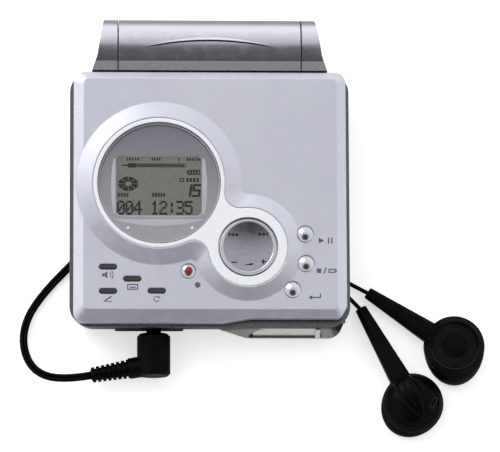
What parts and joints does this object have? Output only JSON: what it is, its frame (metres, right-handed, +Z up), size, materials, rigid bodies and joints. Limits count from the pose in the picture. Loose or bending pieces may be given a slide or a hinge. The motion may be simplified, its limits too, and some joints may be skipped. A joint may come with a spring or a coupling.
{
  "type": "portable disc recorder",
  "caption": "Pocket disc recorder with a silver hinged lid, round display, four-way key, chrome keys, rear battery hump and plugged-in earphones.",
  "frame": {"origin": "middle of the recorder's outline, on the surface its feet stand on, without the earphones", "axes": "+Z up out of the display, +Y towards the battery hump, +X to the right of the display"},
  "size_m": [0.1315, 0.1178, 0.0191],
  "materials": {
    "casing_grey": "dark metallic grey paint with a fine fleck",
    "foot_rubber": "dull moulded rubber",
    "screw_steel": "zinc plated",
    "cell_jacket": "printed sleeve, plain",
    "contact_metal": "nickel plated",
    "circuit_board": "solder mask",
    "chip_black": "moulded epoxy",
    "chassis_steel": "pressed sheet",
    "motor_steel": "turned can",
    "shaft_steel": "ground",
    "pickup_body": "filled resin",
    "lens_glass": "coated lens",
    "turntable_metal": "turned",
    "gear_brass": "cut brass",
    "socket_black": "moulded",
    "slider_silver": "silver paint",
    "switch_grey": "moulded",
    "lid_silver": "pale silver lavender pearl paint",
    "ring_silver": "pale silver trim frame",
    "display_mask": "silver grey print",
    "display_window": "clear moulded lens",
    "lcd_panel": "olive grey liquid-crystal glass",
    "key_metal": "grey metallic, dished",
    "button_chrome": "bright plated",
    "record_chrome": "bright plated with a red centre",
    "bar_dark": "dark grey",
    "holder_steel": "folded sheet",
    "cartridge_blue": "tinted, glossy",
    "shutter_steel": "folded sheet",
    "disc_mirror": "iridescent mirror",
    "plug_black": "soft moulding",
    "plug_metal": "nickel plated",
    "cord_black": "soft sleeve",
    "yoke_black": "moulded",
    "bud_black": "fine texture",
    "bud_face": "pierced cap"
  },
  "bodies": {
    "base": {"lower_casing": "casing_grey", "rubber_feet": "foot_rubber", "case_screws": "screw_steel", "battery_housing": "casing_grey", "battery_cell": "cell_jacket", "battery_contacts": "contact_metal", "main_board": "circuit_board", "board_parts": "chip_black", "mechanism_chassis": "chassis_steel", "chassis_screws": "screw_steel", "spindle_motor": "motor_steel", "guide_shafts": "shaft_steel", "sled_motor": "motor_steel", "headphone_jack": "socket_black", "line_in_jack": "socket_black", "power_jack": "socket_black", "hinge_pins": "shaft_steel", "lead_front": "cord_black", "lead_coil": "cord_black", "lead_rear": "cord_black", "lead_yoke": "yoke_black", "right_wire": "cord_black", "left_wire": "cord_black", "right_bud_shell": "bud_black", "right_bud_face": "bud_face", "left_bud_shell": "bud_black", "left_bud_face": "bud_face"},
    "battery_cover": {"battery_cover": "casing_grey"},
    "open_slider": {"open_slider": "slider_silver"},
    "hold_switch": {"hold_switch": "switch_grey"},
    "turntable": {"turntable": "turntable_metal"},
    "pickup": {"pickup": "pickup_body", "objective_lens": "lens_glass"},
    "lead_screw": {"lead_screw": "gear_brass"},
    "motor_pinion": {"motor_pinion": "gear_brass"},
    "lid": {"lid_shell": "lid_silver", "inner_plate": "chassis_steel", "key_board": "circuit_board", "trim_frame": "ring_silver", "display_mask": "display_mask", "display_window": "display_window", "lcd_panel": "lcd_panel"},
    "magnetic_head": {"magnetic_head": "pickup_body"},
    "key_gimbal": {"key_gimbal": "shaft_steel"},
    "navigation_key": {"navigation_key": "key_metal"},
    "carrier": {"disc_holder": "holder_steel", "cartridge_case": "cartridge_blue", "cartridge_shutter": "shutter_steel"},
    "disc": {"recording_disc": "disc_mirror"},
    "plug": {"plug_housing": "plug_black", "plug_pin": "plug_metal", "strain_relief": "plug_black"},
    "play_button": {"play_button": "button_chrome"},
    "stop_button": {"stop_button": "button_chrome"},
    "enter_button": {"enter_button": "button_chrome"},
    "record_button": {"record_button": "record_chrome"},
    "sound_button": {"sound_button": "bar_dark"},
    "display_button": {"display_button": "bar_dark"},
    "edit_button": {"edit_button": "bar_dark"},
    "mode_button": {"mode_button": "bar_dark"}
  },
  "joints": [
    {"name": "lid_hinge", "type": "hinge", "parent": "base", "child": "lid", "pos_m": [0, 0.02683, 0.015], "axis": [-1, 0, 0], "range_deg": [0, 50]},
    {"name": "carrier_hinge", "type": "hinge", "parent": "base", "child": "carrier", "pos_m": [0, 0.02683, 0.015], "axis": [-1, 0, 0], "range_deg": [0, 20]},
    {"name": "battery_cover_hinge", "type": "hinge", "parent": "base", "child": "battery_cover", "pos_m": [0, 0.04408, 0.0036], "axis": [-1, 0, 0], "range_deg": [0, 95]},
    {"name": "open_slide", "type": "slide", "parent": "base", "child": "open_slider", "axis": [-1, 0, 0], "range_m": [0, 0.002], "stiffness_N_per_m": 250},
    {"name": "hold_slide", "type": "slide", "parent": "base", "child": "hold_switch", "axis": [0, 1, 0], "range_m": [0, 0.0024]},
    {"name": "disc_spin", "type": "hinge", "parent": "carrier", "child": "disc", "pos_m": [0, -0.00677, 0.0093], "axis": [0, 0, 1], "continuous": true},
    {"name": "turntable_spin", "type": "hinge", "parent": "base", "child": "turntable", "pos_m": [0, -0.00677, 0.0084], "axis": [0, 0, 1], "continuous": true},
    {"name": "pickup_slide", "type": "slide", "parent": "base", "child": "pickup", "axis": [1, 0, 0], "range_m": [-0.004, 0.0105]},
    {"name": "lead_screw_turn", "type": "hinge", "parent": "base", "child": "lead_screw", "pos_m": [0.007, 0.01222, 0.005], "axis": [1, 0, 0], "range_deg": [-481, 1261]},
    {"name": "motor_pinion_turn", "type": "hinge", "parent": "base", "child": "motor_pinion", "pos_m": [0.007, 0.015, 0.005], "axis": [1, 0, 0], "range_deg": [-2207, 842]},
    {"name": "head_slide", "type": "slide", "parent": "lid", "child": "magnetic_head", "axis": [1, 0, 0], "range_m": [-0.004, 0.0105]},
    {"name": "key_rock_front_rear", "type": "hinge", "parent": "lid", "child": "key_gimbal", "pos_m": [0.01056, -0.02133, 0.01552], "axis": [1, 0, 0], "range_deg": [-2, 2], "stiffness_Nm_per_rad": 0.05},
    {"name": "key_rock_left_right", "type": "hinge", "parent": "key_gimbal", "child": "navigation_key", "pos_m": [0.01056, -0.02133, 0.01552], "axis": [0, 1, 0], "range_deg": [-2, 2], "stiffness_Nm_per_rad": 0.05},
    {"name": "plug_pull", "type": "slide", "parent": "base", "child": "plug", "axis": [0, -1, 0], "range_m": [0, 0.015]},
    {"name": "play_press", "type": "slide", "parent": "lid", "child": "play_button", "axis": [0, 0, -1], "range_m": [0, 0.0004], "stiffness_N_per_m": 1000},
    {"name": "stop_press", "type": "slide", "parent": "lid", "child": "stop_button", "axis": [0, 0, -1], "range_m": [0, 0.0004], "stiffness_N_per_m": 1000},
    {"name": "enter_press", "type": "slide", "parent": "lid", "child": "enter_button", "axis": [0, 0, -1], "range_m": [0, 0.0004], "stiffness_N_per_m": 1000},
    {"name": "record_press", "type": "slide", "parent": "lid", "child": "record_button", "axis": [0, 0, -1], "range_m": [0, 0.0004], "stiffness_N_per_m": 1000},
    {"name": "sound_press", "type": "slide", "parent": "lid", "child": "sound_button", "axis": [0, 0, -1], "range_m": [0, 0.0004], "stiffness_N_per_m": 1000},
    {"name": "display_press", "type": "slide", "parent": "lid", "child": "display_button", "axis": [0, 0, -1], "range_m": [0, 0.0004], "stiffness_N_per_m": 1000},
    {"name": "edit_press", "type": "slide", "parent": "lid", "child": "edit_button", "axis": [0, 0, -1], "range_m": [0, 0.0004], "stiffness_N_per_m": 1000},
    {"name": "mode_press", "type": "slide", "parent": "lid", "child": "mode_button", "axis": [0, 0, -1], "range_m": [0, 0.0004], "stiffness_N_per_m": 1000}
  ],
  "couplings": [
    {"joint": "carrier_hinge", "follows": "lid_hinge", "ratio": 0.4},
    {"joint": "turntable_spin", "follows": "disc_spin", "ratio": 1},
    {"joint": "lead_screw_turn", "follows": "pickup_slide", "rad_per_m": 2094.4},
    {"joint": "motor_pinion_turn", "follows": "pickup_slide", "rad_per_m": -3665.2},
    {"joint": "head_slide", "follows": "pickup_slide", "ratio": 1}
  ]
}
